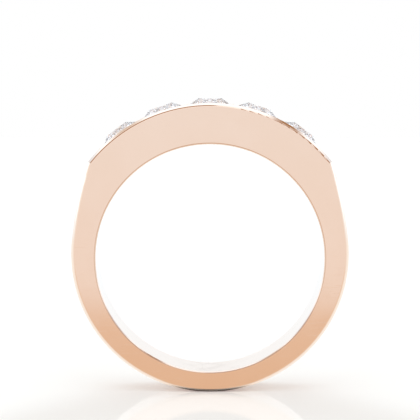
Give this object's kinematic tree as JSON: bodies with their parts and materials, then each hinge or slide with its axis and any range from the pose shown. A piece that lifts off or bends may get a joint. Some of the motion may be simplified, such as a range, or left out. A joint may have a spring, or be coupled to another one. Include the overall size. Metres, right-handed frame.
{
  "type": "wedding band",
  "caption": "Polished flat-sided wedding band with squared shoulders, thicker at the top, where round stones sit in a row between two rails.",
  "frame": {"origin": "centre of the finger bore, midway between the two side faces", "axes": "+Y along the finger bore, from the front side face to the back one; +Z from the bore's centre to the middle of the row of stones; +X to the right as seen from the front side face"},
  "size_m": [0.021, 0.004, 0.0223],
  "materials": {
    "rose_gold": "polished",
    "diamond": "faceted, polished"
  },
  "bodies": {
    "root": {"band": "rose_gold", "diamond_left_outer": "diamond", "diamond_left_inner": "diamond", "diamond_centre": "diamond", "diamond_right_inner": "diamond", "diamond_right_outer": "diamond"}
  },
  "joints": []
}
